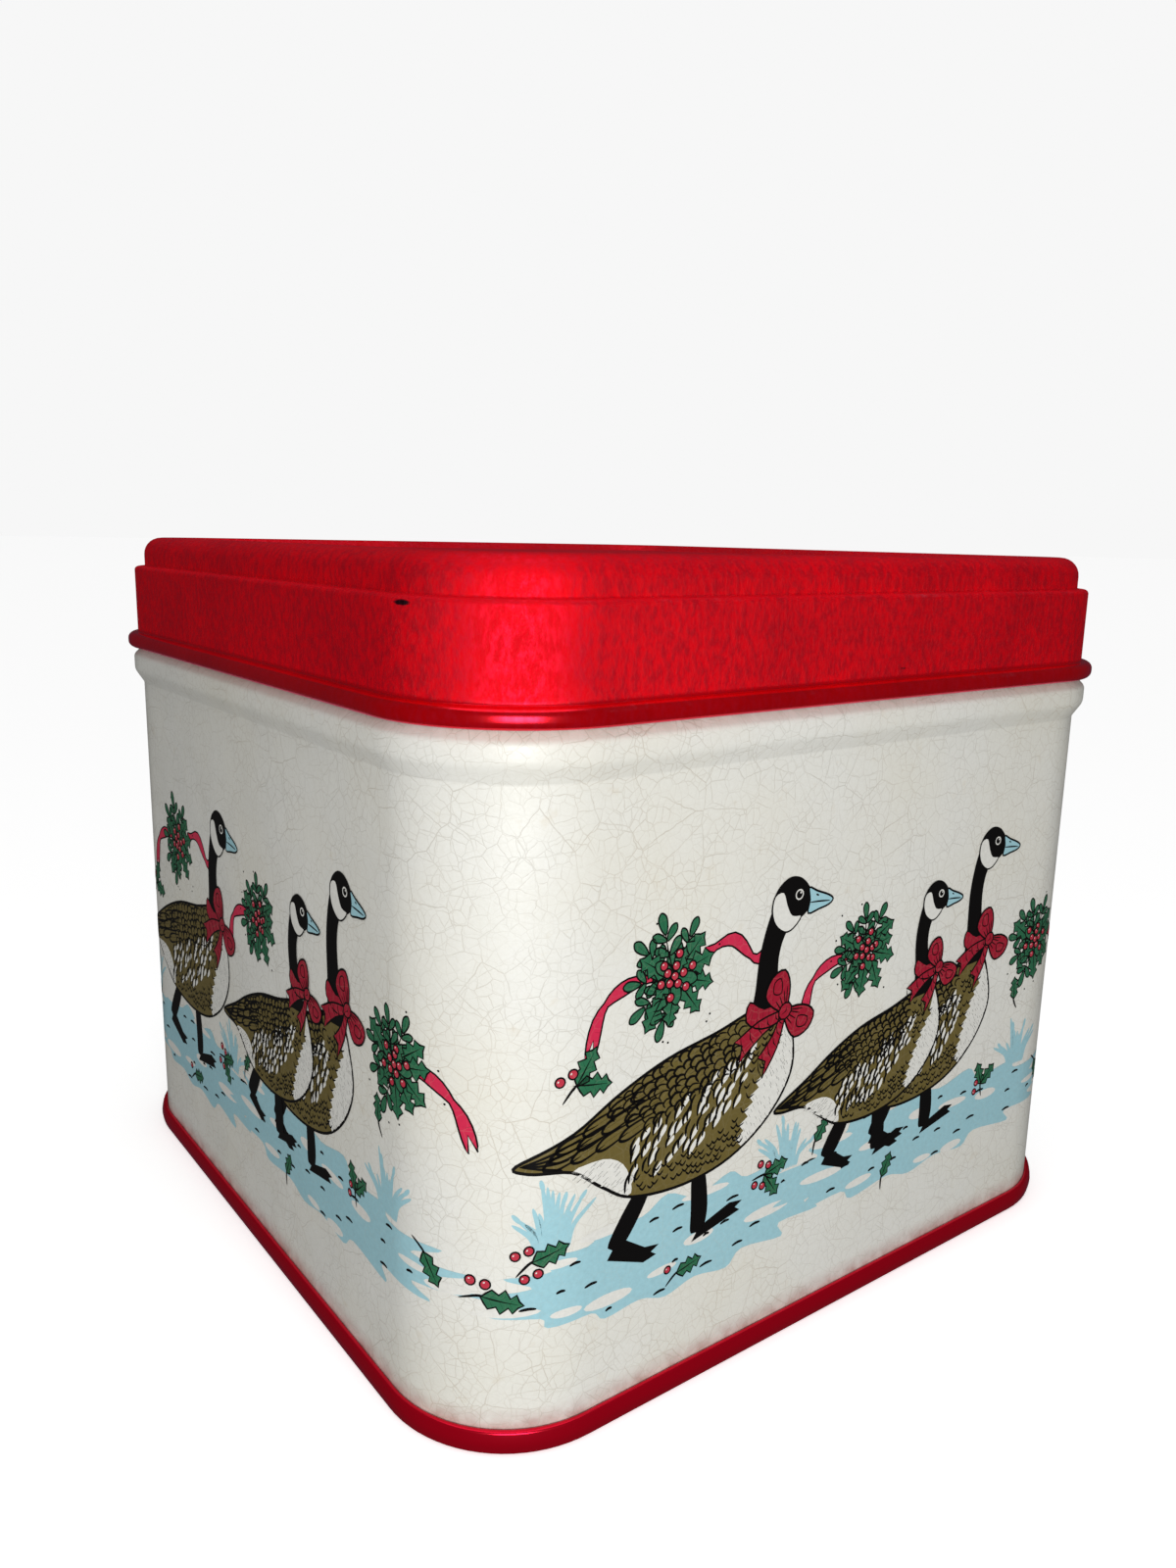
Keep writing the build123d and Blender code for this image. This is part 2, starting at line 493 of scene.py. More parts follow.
def holly_leaf(pen):
    """A holly leaf from its stem end, with three spines along each edge and a few veins."""
    edge = []
    for t, wide in ((0.2, 0.25), (0.5, 0.31), (0.78, 0.24)):
        edge += [(t - 0.1, wide * 0.5), (t + 0.02, wide)]
    edge.append((0.9, 0.08))
    outline = [(0, 0), *edge, (1.02, 0), *((t, -wide) for t, wide in reversed(edge))]
    pen.outlined(outline, "green", width=0.2)
    pen.line([(-0.12, 0.02), (0.3, 0.01), (0.88, 0)], 0.19, 1)
    for t in (0.2, 0.45, 0.68):
        for way in (1, -1):
            pen.line([(t, 0), (t + 0.12, way * 0.17)], 0.12, 1)


def oval_leaf(pen):
    """A plain oval leaf from its stem end."""
    half = [(0, 0), (0.3, 0.17), (0.75, 0.22), (1, 0)]
    outline = smooth(half + [(t, -wide) for t, wide in half[2:0:-1]], closed=True, steps=3)
    pen.outlined(outline, "green", width=0.18)
    pen.line([(0.08, 0), (0.75, 0)], 0.14, 1)


def spray(pen):
    """A stem with pairs of small oval leaves and one at its tip."""
    pen.line([(-0.1, 0), (0.4, 0.02), (0.8, 0)], 0.2, 1)
    for i, t in enumerate((0.12, 0.36, 0.6)):
        for layer, way in enumerate((1, -1)):
            oval_leaf(pen.moved(t, 0, 0.36 - 0.03 * i, way * 52, layer))
    oval_leaf(pen.moved(0.7, 0, 0.36, layer=1))


def berry(pen, x, y, size, layer=0):
    """A round berry with a glint."""
    pen.outlined(oval(x, y, size, size, steps=12), "berry", layer, width=0.18)
    pen.fill(oval(x - size * 0.14, y + size * 0.16, size * 0.24, size * 0.16, 35, 6), "white", layer + 1)


def ribbon(pen, path, width, layer):
    """A ribbon with a forked end. It narrows and swells along its path as it turns over."""
    middle = [Vector(point) for point in smooth(path)]
    last = len(middle) - 1
    left, right = [], []
    for i, at in enumerate(middle):
        along = (middle[min(i + 1, last)] - middle[max(i - 1, 0)]).normalized()
        half = width / 2 * (0.4 + 0.6 * abs(cos(2.2 * pi * i / last + 0.5)))
        side = Vector((-along.y, along.x)) * half
        left.append(tuple(at + side))
        right.append(tuple(at - side))
    fork = tuple(middle[-1].lerp(middle[-3], 1.2))
    pen.outlined(left + [fork] + right[::-1], "ribbon", layer, 0.2)
    for i in range(3, last - 2, 3):
        pen.line([left[i], tuple(middle[i])], 0.12, layer + 1)


def bow(pen):
    """A tied bow: two hanging tails, two gathered loops, and the knot over them."""
    for reach, drop in ((-0.5, -1.7), (0.55, -1.45)):
        path = smooth([(0, 0), (reach * 0.7, drop * 0.45), (reach, drop)], steps=3)
        left = [(u - 0.12 - 0.03 * i, v + 0.02 * i) for i, (u, v) in enumerate(path)]
        right = [(u + 0.12 + 0.03 * i, v - 0.02 * i) for i, (u, v) in enumerate(path)]
        notch = (path[-1][0], path[-1][1] + 0.24)
        pen.outlined(left + [notch] + right[::-1], "bow", 0 if reach < 0 else 1, 0.22)
        for i in range(1, len(path)):
            pen.line([left[i], (path[i][0], path[i][1] - 0.06), right[i]], 0.17, 2)
    for way in (-1, 1):
        loop = [(0, 0.1), (0.42, 0.62), (0.92, 0.76), (1.12, 0.34), (0.9, -0.14), (0.4, -0.14)]
        pen.outlined(smooth([(way * u, v) for u, v in loop], True, 3), "bow", 3, 0.24)
        hollow = [(0.52, 0.3), (0.84, 0.52), (0.94, 0.3), (0.72, 0.1)]
        pen.line(smooth([(way * u, v) for u, v in hollow], True, 3), 0.16, 4, closed=True)
        for low, high in ((0, 0.02), (0.08, 0.2), (0.16, 0.4), (0.2, 0.56)):
            pen.line(smooth([(0.1 * way, low), (0.3 * way, (low + high) / 2), (0.5 * way, high)]), 0.16, 4)
        for u, v in ((0.62, 0.66), (0.8, 0.68), (0.98, 0.56), (1, 0.1), (0.82, -0.04), (0.62, -0.06)):
            pen.line([(way * u, v), (way * (0.8 * u + 0.14), 0.8 * v + 0.06)], 0.15, 4)
    pen.outlined(oval(0, 0.08, 0.44, 0.5, steps=10), "bow", 5, 0.22)
    pen.line([(-0.08, 0.22), (0.03, 0.1), (-0.02, -0.08)], 0.15, 6)
    pen.line([(0.06, 0.24), (0.12, 0.06)], 0.15, 6)


def holly_bunch(pen, x, y, size, seed):
    """A loose bunch: sprays and oval leaves on one side, holly leaves on the other, berries at its heart."""
    draw = random.Random(seed)
    own = pen.moved(x, y, 1, draw.uniform(-12, 12), 4)
    for i, turn in enumerate((72, 108, 142, 178, 212, 250)):
        spray(own.moved(0, 0, size * draw.uniform(0.92, 1.1), turn + draw.uniform(-8, 8), 2 * (i % 2)))
    for i, turn in enumerate((-88, -52, -20, 12, 44, 160, 230)):
        near = Vector((size * draw.uniform(0.12, 0.34), 0))
        near.rotate(Matrix.Rotation(radians(turn), 2))
        length = size * draw.uniform(0.6, 0.74)
        holly_leaf(own.moved(*near, length, turn + draw.uniform(-12, 12), 4 + 2 * (i % 2)))
    for i in range(5):
        leaf = holly_leaf if i % 2 else oval_leaf
        leaf(own.moved(0, 0, size * 0.5, 72 * i + draw.uniform(-15, 15), 8))
    for reach, count in ((0.33, 6), (0.17, 5), (0, 1)):
        for i in range(count):
            angle = 2 * pi * (i + reach) / count
            away = size * reach * draw.uniform(0.85, 1.2)
            berry(own, away * cos(angle), away * sin(angle), size * 0.16, 10)
    for _ in range(6):
        angle, away = draw.uniform(0, 2 * pi), size * draw.uniform(1, 1.22)
        own.fill(oval(away * cos(angle), away * sin(angle), 0.45, 0.38, steps=6), "ink")


def sprig(pen, x, y, size, turn, leaves, berries):
    """A fallen scrap of holly: leaves spread from a stem, with a few berries at its foot."""
    own = pen.moved(x, y, 1, turn, 8)
    own.line(smooth([(-0.5 * size, -0.2 * size), (-0.1 * size, 0), (0.2 * size, 0.05 * size)]), 0.3)
    for i in range(leaves):
        holly_leaf(own.moved(0, 0, size, 68 * (i - (leaves - 1) / 2), 1))
    for i in range(berries):
        berry(own, (-0.32 + 0.36 * (i % 2)) * size, (0.34 if i < 2 else -0.34) * size, size * 0.25, layer=3)


def snow_patch(pen, left, right, low, high, seed, layer):
    """A patch of blue-shadowed snow: a ragged oval with streaked ends, bare ovals and ink dashes in it."""
    draw = random.Random(seed)
    middle, half = (left + right) / 2, (right - left) / 2
    centre, rise = (low + high) / 2, (high - low) / 2
    corners = 34
    outline = []
    for i in range(corners):
        angle = 2 * pi * i / corners
        ragged = (0.17 if i % 2 else -0.14) * draw.uniform(0.25, 1)
        across = middle + half * cos(angle) * (1 + ragged)
        outline.append((across, centre + rise * sin(angle) * (1 + 1.3 * ragged)))
    outline = smooth(outline, True, 4)
    pen.fill(outline, "snow", layer)
    for x, y in scattered(draw, outline, 11, clear=6):
        bare = oval(x, y, draw.uniform(5, 11), draw.uniform(1.2, 2.2), draw.uniform(-3, 3))
        pen.fill(bare, "white", layer + 1)
    for x, y in scattered(draw, outline, 22, clear=4):
        reach = draw.uniform(0.6, 1.4)
        dash = smooth([(x - reach, y - 0.15), (x, y + 0.1), (x + reach, y)], steps=3)
        pen.line(dash, 0.34, layer + 2, ends=0.4)


def tuft(pen, x, y, height, seed):
    """A tuft of frosted grass: tapered blades that fan out, some with a seed head."""
    draw = random.Random(seed)
    blades = 15
    for i in range(blades):
        lean = 2 * i / (blades - 1) - 1
        tall = height * draw.uniform(0.5, 1) * (1 - 0.35 * abs(lean))
        foot, tip = x + 2.6 * lean, x + 6.5 * lean * draw.uniform(0.6, 1.2)
        blade = smooth([(foot, y), (foot + 0.2 * (tip - foot), y + 0.55 * tall), (tip, y + tall)])
        pen.line(blade, 0.55, i % 2, "snow", ends=0.2)
        if i % 4 == 1:
            pen.fill(oval(tip, y + tall, 2, 0.75, 90 - 50 * lean), "snow", 2)


# The line of a goose's back, from its neck to the tip of its tail
BACK = [(14.5, 36.5), (7, 34.4), (-3, 32.2), (-12, 28.6), (-20, 24.2), (-28.5, 20)]


def below_back(x, depth):
    """The point of a goose's body that is depth below its back."""
    for (x1, y1), (x2, y2) in zip(BACK, BACK[1:]):
        if x >= x2:
            break
    return x, y1 + (y2 - y1) * (x - x1) / (x2 - x1) - depth


def goose(pen, seed, reach=0, lean=0, tilt=0, knot=0):
    """A goose that walks to the right, from the ground between its feet. It is about 60 tall.

    reach and lean lengthen and slope its neck, tilt turns its body about the breast, and knot raises its bow.
    """
    draw = random.Random(seed)
    breast_point = (16, 24)
    body = pen.moved(*breast_point, turn=tilt).moved(-breast_point[0], -breast_point[1])
    legs(pen)
    under = [(-26.8, 18.8), (-20, 18.2), (-14.5, 14.4), (-8.5, 11), (2, 10), (12, 11.8)]
    front = [(20, 16.8), (24.6, 23.6), (24.3, 30.5), (21.5, 37)]
    body.outlined(smooth(BACK + under + front, True), "olive", 2, 0.34)

    breast = smooth([(22.2, 35.6), (24.2, 30.5), (24.5, 23.7), (20.1, 17.1), (14.4, 13)], steps=3)
    ragged = [(13.4 + 0.3 * i + 0.02 * i * i + (0.9 if i % 2 else -0.6), 14.6 + i * 1.15) for i in range(15)]
    body.fill(breast + ragged, "white", 3)
    for x, y in scattered(draw, breast + ragged, 80, clear=0.5):
        body.line([(x, y), (x + 0.4, y - 0.7)], 0.2, 6)
    for x, y in ragged[::2]:
        body.line(smooth([(x - 0.8, y + 0.9), (x - 0.2, y - 0.1), (x + 1.1, y + 0.3)], steps=3), 0.22, 6)
    rump = [(-20, 18.2), (-14.6, 14.5), (-9.3, 11.5), (-8.8, 13.4), (-10.6, 17), (-14.5, 18.9)]
    rump = smooth(rump, True, 3)
    body.fill(rump, "white", 3)
    for x, y in scattered(draw, rump, 34, clear=0.5):
        body.line([(x, y), (x - 0.9, y - 0.6)], 0.2, 6)

    covert_feathers(body, draw)
    flight_feathers(body)
    flank_feathers(body, draw)
    neck_and_head(pen, reach, lean, knot)


def legs(pen):
    """Two black legs in a walking step, with webbed feet."""
    sole = [(-2.8, -1.6), (-0.2, -1.1), (-1.3, -0.3), (0.3, 0.5), (-2.6, 1)]
    for hip, ankle, heel, toe in (
        ((-6.5, 12.5), (-9.8, 7.6), (-12.4, 4), (-3.4, 1.2)),
        ((4.6, 12), (5.2, 5), (4.8, 0.8), (14.6, 2.6)),
    ):
        pen.line(smooth([hip, ankle, heel]), 2.4, 1, ends=0.65)
        web = [(toe[0] + x, toe[1] + y) for x, y in sole]
        foot = [heel, (heel[0] - 1, heel[1] - 1.4), *web, (heel[0] + 2, heel[1] + 1.2)]
        pen.fill(foot, "ink", 1)


def neck_and_head(pen, reach, lean, knot):
    """The black neck and head, white cheek, pale bill and eye, with a plain bow tied round the neck."""
    top = pen.moved(lean, reach)
    nape = [(14.2, 35), (15.2, 40), (15.8, 47), (17.4, 53), (19.6, 57.4)]
    throat = [(24.6, 52.4), (21.6, 50.4), (20.2, 46), (20.6, 40), (22.2, 35.6)]
    rise = [0, 0.3, 0.8, 1, 1]
    left = [(x + lean * k, y + reach * k) for (x, y), k in zip(nape, rise)]
    right = [(x + lean * k, y + reach * k) for (x, y), k in zip(throat, rise[::-1])]
    pen.fill(smooth(left) + smooth(right), "ink", 7)
    head = [(18, 54), (18.8, 57.6), (21.6, 59.6), (24.6, 59.2), (26.9, 57), (27.3, 54.6)]
    top.fill(smooth(head + [(25.4, 52.6), (21, 51.4)], True), "ink", 8)
    cheek = [(18.6, 57), (20.6, 57.4), (21.7, 55), (22.9, 53.2), (25, 52.7), (23.2, 50.9), (21.2, 50.6)]
    top.outlined(smooth(cheek + [(19, 52.2), (18.1, 54.6)], True, 3), "white", 9, 0.2)
    bill = [(26.6, 57.2), (28.6, 56.3), (31.4, 55.2), (32.6, 54.3), (31.6, 53.5), (29.2, 53.1), (26.6, 52.8)]
    top.outlined(smooth(bill + [(26.9, 55)], True, 3), "snow", 9, 0.24)
    top.line(smooth([(26.9, 54.6), (29.4, 54.4), (31.9, 54.1)]), 0.2, 11)
    top.fill(oval(28.7, 55.6, 0.8, 0.35, -25, 8), "ink", 11)
    top.line(oval(24.3, 56.4, 1.7, 1.6), 0.16, 9, "white", closed=True)
    top.fill(oval(24.6, 56.7, 0.4, 0.4, steps=8), "white", 9)
    tie = pen.moved(0.12 * knot, knot)
    collar = [(14, 38.4), (17.6, 36.4), (21.6, 37), (22.4, 40.2), (18, 39.8), (14.6, 41.6)]
    tie.outlined(smooth(collar, True, 3), "bow", 10, 0.22)
    for i in range(6):
        tie.line([(15 + 1.3 * i, 37.7 - 0.1 * i), (15.4 + 1.2 * i, 40.8 - 0.25 * i)], 0.18, 11)
    bow(tie.moved(22.4, 38, 6.3, -50, 11))


def covert_feathers(pen, draw):
    """Loose rows of scalloped feathers over the shoulder and along the back."""
    scale = [(1, 0.7), (-0.5, 0.9), (-1.35, -0.1), (-0.7, -1)]
    for row in range(6):
        for i in range(15 - row):
            at = 14.2 - 1.9 * (i + 0.5 * (row % 2)) - 0.35 * row + draw.uniform(-0.35, 0.35)
            x, y = below_back(at, 1.35 + 1.55 * row + draw.uniform(-0.3, 0.3))
            size = draw.uniform(0.75, 1.2)
            edge = smooth([(x + size * u, y + size * v) for u, v in scale], steps=3)
            pen.line(edge, draw.choice((0.24, 0.36)), 6)
            if draw.random() < 0.5:
                pen.line([(x + 0.7, y + 0.2), (x - 0.4, y - 0.1)], 0.2, 6)


def flight_feathers(pen):
    """Long feathers that overlap from the wing to the tail, each with a rounded tip and a quill line."""
    feather = [(4.6, 2.4), (-0.6, 1.1), (-2.3, -0.5), (-0.6, -0.9), (3.6, 0.7)]
    for row in range(4):
        for i in range(3):
            x, y = below_back(-7.5 - 4.3 * row - 0.9 * i, 1.2 + (2.6 - 0.6 * row) * (i + 0.6))
            pen.line(smooth([(x + u, y + v) for u, v in feather], steps=4), 0.34, 6)
            pen.line([(x + 3.4, y + 1.5), (x - 0.9, y + 0.1)], 0.17, 6)
    for i in range(4):
        tail = [below_back(-18.5 - i, 1.6 + i), below_back(-23.5, 1 + 0.75 * i), (-28, 19.9)]
        pen.line(smooth(tail), 0.28, 6)


def flank_feathers(pen, draw):
    """A slanting band of pale flame-shaped feathers with inked shadows, and ticks on belly and shoulder."""
    upper = [(15.8, 31.5), (12.2, 30.5), (5, 27.2), (-3, 23.8), (-9.5, 20.2)]
    lower = [(-9, 15), (-1, 15.6), (8, 18.6), (13.6, 23)]
    for x, y in scattered(draw, upper + lower, 92, clear=1.25):
        tall = draw.uniform(1.5, 2.9)
        bend = draw.uniform(0.4, 0.9)
        tip = (x - 0.9, y - tall)
        flame = [(x + 0.35, y), (x - 0.5 * bend - 0.3, y - 0.45 * tall), tip]
        flame.append((x + 0.55 - 0.3 * bend, y - 0.5 * tall))
        if draw.random() < 0.8:
            pen.fill(smooth(flame, True, 3), "white", 4)
        shade = [(x - 0.3, y + 0.2), (x - 0.5 * bend - 0.75, y - 0.45 * tall), (tip[0] - 0.2, tip[1] - 0.3)]
        pen.line(smooth(shade, steps=4), 0.34, 6, ends=0.2)
    belly = [(-8, 14.5), (6, 15.5), (13, 19), (14, 13.5), (3, 10.9), (-7, 11.6)]
    shoulder = [(15, 34), (20, 33.5), (18.6, 29), (15.8, 25), (14.5, 22)]
    for outline, count in ((belly, 60), (shoulder, 16)):
        for x, y in scattered(draw, outline, count, clear=0.9):
            pen.line(smooth([(x - 0.7, y + 0.3), (x, y - 0.3), (x + 0.7, y + 0.4)], steps=3), 0.24, 6)


def picture():
    """The shapes of one wall's picture. Its middle is at run 0, and its ends reach round the corners."""
    shapes = []
    pen = Pen(shapes)
    for x, y, height, seed in ((-61, 33, 12, 3), (-13, 31, 11, 5), (53, 33, 13, 8)):
        tuft(pen, x, y, height, seed)
    snow_patch(pen, -69, -3, 18, 34, seed=11, layer=2)
    snow_patch(pen, -16, 66, 20, 35, seed=14, layer=5)

    goose(pen.moved(20, 27, 0.88, layer=8), 31, reach=5.5, lean=-1.5, tilt=5, knot=1.5)
    goose(pen.moved(6.5, 27, 0.8, layer=19), 27, reach=2.2, lean=-2.5, knot=2.5)
    goose(pen.moved(-37.9, 25.6, layer=8), 23, reach=-2, tilt=-2, knot=-3.5)
    for x, y, size, seed in ((-39.8, 71.6, 9.4, 41), (4.2, 67, 8.4, 45), (55.8, 59, 8.8, 47)):
        holly_bunch(pen, x, y, size, seed)
    for width, *path in (
        (2.3, (-42, 72), (-48.5, 72), (-53.5, 69), (-55.5, 62)),
        (2.3, (-33.5, 74), (-28, 75.2), (-23, 71), (-19.5, 72)),
        (2.1, (2.6, 66.5), (-4.5, 66.5), (-9.5, 63.5), (-11, 57)),
        (2.3, (57.5, 59), (63, 59.5), (68, 55.5), (70.5, 49)),
    ):
        ribbon(pen, path, width, layer=2)
    for x, y, size, turn, leaves, berries in (
        (-57.5, 58.5, 6.2, 25, 2, 2),
        (-64, 31.5, 6, 20, 1, 4),
        (-71.6, 26, 6.5, -12, 1, 2),
        (-37, 20.5, 5.2, 12, 1, 1),
        (-18, 31.5, 5.4, -20, 2, 4),
        (-6, 34, 4.6, 55, 1, 0),
        (13, 21, 4.8, 65, 1, 0),
        (42, 31.5, 5, 75, 2, 2),
        (50.5, 47.5, 4.6, 95, 1, 0),
        (62, 31, 5.6, -60, 1, 0),
    ):
        sprig(pen, x, y, size, turn, leaves, berries)
    return shapes


# ---- The picture on the four walls
COLUMNS = stations(-ARC_STEPS, SIDE_STEPS)
ROWS = [SEAM_HEIGHT + ROW_STEP * i for i in range(1, 22)]
INKS = {  # as they look on a screen
    "snow": (166, 212, 222),
    "olive": (112, 98, 50),
    "green": (44, 112, 78),
    "berry": (196, 52, 72),
    "ribbon": (214, 42, 80),
    "bow": (168, 20, 48),
    "white": (236, 235, 228),
}


def flat_print(shapes, inks):
    """The shapes in some inks as one flat mesh, cut along the enamel's columns so that it bends with them."""
    bm = bmesh.new()
    print_map = sheet_map(bm)
    for colour, layer, corners, faces in shapes:
        if colour not in inks:
            continue
        verts = [bm.verts.new((x, y, layer * LAYER)) for x, y in corners]
        for corner_numbers in faces:
            face = bm.faces.new([verts[i] for i in corner_numbers])
            face.material_index = inks.index(colour)
            face.normal_update()
            if face.normal.z < 0:
                face.normal_flip()
    bmesh.ops.dissolve_degenerate(bm, dist=1e-4, edges=bm.edges)
    seam = SIDE_SEAM - 2 * PITCH
    cuts = [((run, 0, 0), (1, 0, 0)) for run in (*COLUMNS, seam, seam + SEAM_GAP)]
    cuts += [((0, row, 0), (0, 1, 0)) for row in ROWS]
    for place, direction in cuts:
        everything = bm.verts[:] + bm.edges[:] + bm.faces[:]
        bmesh.ops.bisect_plane(bm, geom=everything, dist=1e-5, plane_co=place, plane_no=direction)
    for face in bm.faces:
        for corner in face.loops:
            corner[print_map].uv = corner.vert.co.xy
    return bm


def on_sheet(run, offset, height, side):
    """A place on the enamel's flat facets, between the two columns of vertices beside it, and its normal."""
    after = min(max(bisect.bisect_right(COLUMNS, run), 1), len(COLUMNS) - 1)
    here, first, second = (at + side * PITCH for at in (run, COLUMNS[after - 1], COLUMNS[after]))
    share = (here - first) / (second - first)
    point = body_point(first, offset, height).lerp(body_point(second, offset, height), share)
    return point, (wall_point(here, 1, height) - wall_point(here, 0, height)).normalized()


def wall_print(name, flat, side, materials):
    """One wall's copy of a flat print, bent round the wall."""
    own = flat.copy()
    print_map = sheet_map(own)
    start = side * PITCH
    over_gap = []
    for face in own.faces:
        if SIDE_SEAM < face.calc_center_median().x + start < SIDE_SEAM + SEAM_GAP:
            over_gap.append(face)
    bmesh.ops.delete(own, geom=over_gap, context="FACES")
    for face in own.faces:
        for corner in face.loops:
            corner[print_map].uv.x += start - (AROUND if start > SIDE_SEAM else 0)
    mesh = bpy.data.meshes.new(name)
    own.to_mesh(mesh)
    own.free()
    normals = []
    for vert in mesh.vertices:
        point, normal = on_sheet(vert.co.x, PRINT_OFFSET + vert.co.z, vert.co.y, side)
        vert.co = point * MM
        normals.append(normal)
    mesh.polygons.foreach_set("use_smooth", [True] * len(mesh.polygons))
    mesh.normals_split_custom_set_from_vertices(normals)
    return placed(mesh, materials, "tin")


# ---- Materials
def material(name):
    """A new node material and its Principled shader."""
    made = bpy.data.materials.new(name)
    made.use_nodes = True
    return made, made.node_tree.nodes["Principled BSDF"]


def feed(made, **inputs):
    """Sets a node's inputs or links sockets to them, by name, with _ for a space, or by number, as i0."""
    for name, value in inputs.items():
        socket = made.inputs[int(name[1:]) if name[1:].isdigit() else name.replace("_", " ")]
        if isinstance(value, bpy.types.NodeSocket):
            made.id_data.links.new(value, socket)
        else:
            socket.default_value = value


def node(beside, kind, settings=None, **inputs):
    """A new node, in the same tree as another node or socket, with its settings and inputs."""
    made = beside.id_data.nodes.new("ShaderNode" + kind)
    for key, value in (settings or {}).items():
        setattr(made, key, value)
    feed(made, **inputs)
    return made


def srgb(*screen):
    """A colour given as it looks on a screen, from 0 to 255, as the linear colour that shaders take."""
    linear = [c / 255 / 12.92 if c <= 10 else ((c / 255 + 0.055) / 1.055) ** 2.4 for c in screen]
    return (*linear, 1.0)


def sheet_place(shader):
    """(run, height) in millimetres, from the meshes' map."""
    return node(shader, "UVMap", {"uv_map": SHEET_MAP}).outputs[0]


def vector(operation, first, second, output=0):
    """The result of a step of vector maths."""
    made = node(first, "VectorMath", {"operation": operation}, i0=first, i1=second)
    return made.outputs[output]


def solid_place(beside, stretch=(1, 1, 1)):
    """The place in space in millimetres, divided along each axis by stretch."""
    place = node(beside, "TexCoord").outputs["Object"]
    return vector("MULTIPLY", place, tuple(1 / (MM * s) for s in stretch))


def noise(place, size, detail=3, roughness=0.55, output="Fac"):
    """Noise with patches about size millimetres across."""
    made = node(place, "TexNoise", Vector=place, Scale=1 / size, Detail=detail, Roughness=roughness)
    return made.outputs[output]


def level(value, low, high, at_low, at_high):
    """Maps low..high to at_low..at_high, and holds it there beyond them."""
    made = node(value, "MapRange", Value=value, From_Min=low, From_Max=high, To_Min=at_low, To_Max=at_high)
    return made.outputs[0]


def times(first, second):
    return node(first, "Math", {"operation": "MULTIPLY"}, i0=first, i1=second).outputs[0]


def most(first, second):
    return node(first, "Math", {"operation": "MAXIMUM"}, i0=first, i1=second).outputs[0]


def mixed(share, first, second):
    """The first colour, with a share from 0 to 1 of the second over it."""
    return node(share, "Mix", {"data_type": "RGBA"}, i0=share, i6=first, i7=second).outputs[2]


def bump(height, distance, strength=1.0):
    """A normal with a relief whose height is distance millimetres."""
    return node(height, "Bump", Height=height, Distance=distance * MM, Strength=strength).outputs[0]


def coordinate(place, axis):
    """A place's coordinate along an axis. On the sheet, Y is the height."""
    return node(place, "SeparateXYZ", Vector=place).outputs[axis]


def varnish(place):
    """The uneven roughness of the clear varnish over the enamel and the inks."""
    return level(noise(place, 7, detail=4), 0.35, 0.7, 0.3, 0.46)


def crackle(place):
    """From 0 to 1, how much of a crack is at a place: long cracks, and a finer, fainter net between them."""
    sway = noise(place, 2.6, output="Color")
    sway = vector("SUBTRACT", sway, (0.5, 0.5, 0.5))
    sway = node(place, "VectorMath", {"operation": "SCALE"}, i0=sway, Scale=1.1).outputs[0]
    bent = vector("ADD", place, sway)
    depth = None
    kind = {"voronoi_dimensions": "2D", "feature": "DISTANCE_TO_EDGE"}
    for cell, width, patch, strength in ((7.0, 0.09, 15, 0.8), (3.4, 0.08, 9, 0.7), (1.9, 0.075, 6, 0.65)):
        net = node(place, "TexVoronoi", kind, Vector=bent, Scale=1 / cell).outputs["Distance"]
        shown = level(noise(place, patch), 0.42, 0.6, 0.15, strength)
        line = times(level(net, 0.2 * width / cell, 1.3 * width / cell, 1, 0), shown)
        depth = line if depth is None else most(depth, line)
    return depth


def cream_enamel():
    """Old cream enamel: crackled and softly yellowed, with painted shade under the lid's hem, and painted
    red-tinted shade just above the base seam.
    """
    made, shader = material("cream_enamel")
    place = sheet_place(shader)
    height = coordinate(place, "Y")
    cracks = crackle(place)
    yellowed = level(noise(place, 34, detail=4), 0.42, 0.68, 0, 0.55)
    colour = mixed(yellowed, srgb(235, 235, 229), srgb(230, 227, 211))
    grain = level(noise(place, 0.7, detail=6, roughness=0.85), 0.3, 0.72, 0, 0.6)
    colour = mixed(grain, colour, srgb(219, 216, 205))
    stains = level(noise(place, 5, detail=5, roughness=0.65), 0.62, 0.76, 0, 0.3)
    colour = mixed(stains, colour, srgb(205, 188, 156))
    # Painted shade, tinted red like a reflection of the red bead, on the cream just above the base seam.
    painted_seam_shade = level(height, SEAM_HEIGHT - 0.5, SEAM_HEIGHT + 3.5, 0.7, 0)
    painted_seam_shade = times(painted_seam_shade, level(noise(place, 3, detail=4), 0.3, 0.7, 0.25, 1))
    colour = mixed(painted_seam_shade, colour, srgb(150, 62, 50))
    # Painted shade on the cream under the lid's hem, darker towards the neck, unevenly.
    painted_hem_shade = level(height, BEAD_HIGH, NECK_LINE, 0, 0.5)
    painted_hem_shade = times(painted_hem_shade, level(noise(place, 2.5, detail=4), 0.4, 0.6, 0.2, 1))
    colour = mixed(painted_hem_shade, colour, srgb(176, 164, 142))
    crack_tint = mixed(yellowed, srgb(172, 166, 152), srgb(182, 152, 112))
    colour = mixed(times(cracks, 0.6), colour, crack_tint)
    peel = noise(place, 1.3, detail=5, roughness=0.65)
    relief = node(peel, "Math", {"operation": "MULTIPLY_ADD"}, i0=cracks, i1=-0.6, i2=peel).outputs[0]
    feed(shader, Base_Color=colour, Roughness=varnish(place), Specular_IOR_Level=0.45)
    feed(shader, Normal=bump(relief, 0.035))
    return made


